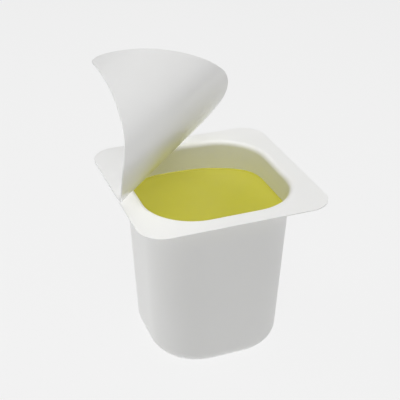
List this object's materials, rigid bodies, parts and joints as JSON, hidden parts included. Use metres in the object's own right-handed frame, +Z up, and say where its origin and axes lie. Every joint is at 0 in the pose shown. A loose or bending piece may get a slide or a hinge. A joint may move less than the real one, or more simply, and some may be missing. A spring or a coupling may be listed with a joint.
{
  "type": "yogurt pot",
  "caption": "Square single-serve plastic pot with a flange, filled with yellow yogurt, its peel-off lid still sealed at one corner and curled back over the pot.",
  "frame": {"origin": "middle of the flat base, on the surface that the pot stands on", "axes": "+Z up through the pot; X and Y run square to the flange's sides; the corner where the lid is still sealed is at -X, +Y and the free corner of the flange faces +X, -Y"},
  "size_m": [0.0732, 0.0739, 0.1043],
  "materials": {
    "pot_plastic": "smooth white thermoformed plastic, slightly see-through, satin gloss",
    "yogurt": "smooth set yogurt with a moist soft gloss",
    "lid_laminate": "white coated lidding laminate, fine embossed texture, soft sheen"
  },
  "bodies": {
    "root": {"pot": "pot_plastic", "yogurt": "yogurt", "lid": "lid_laminate"}
  },
  "joints": []
}
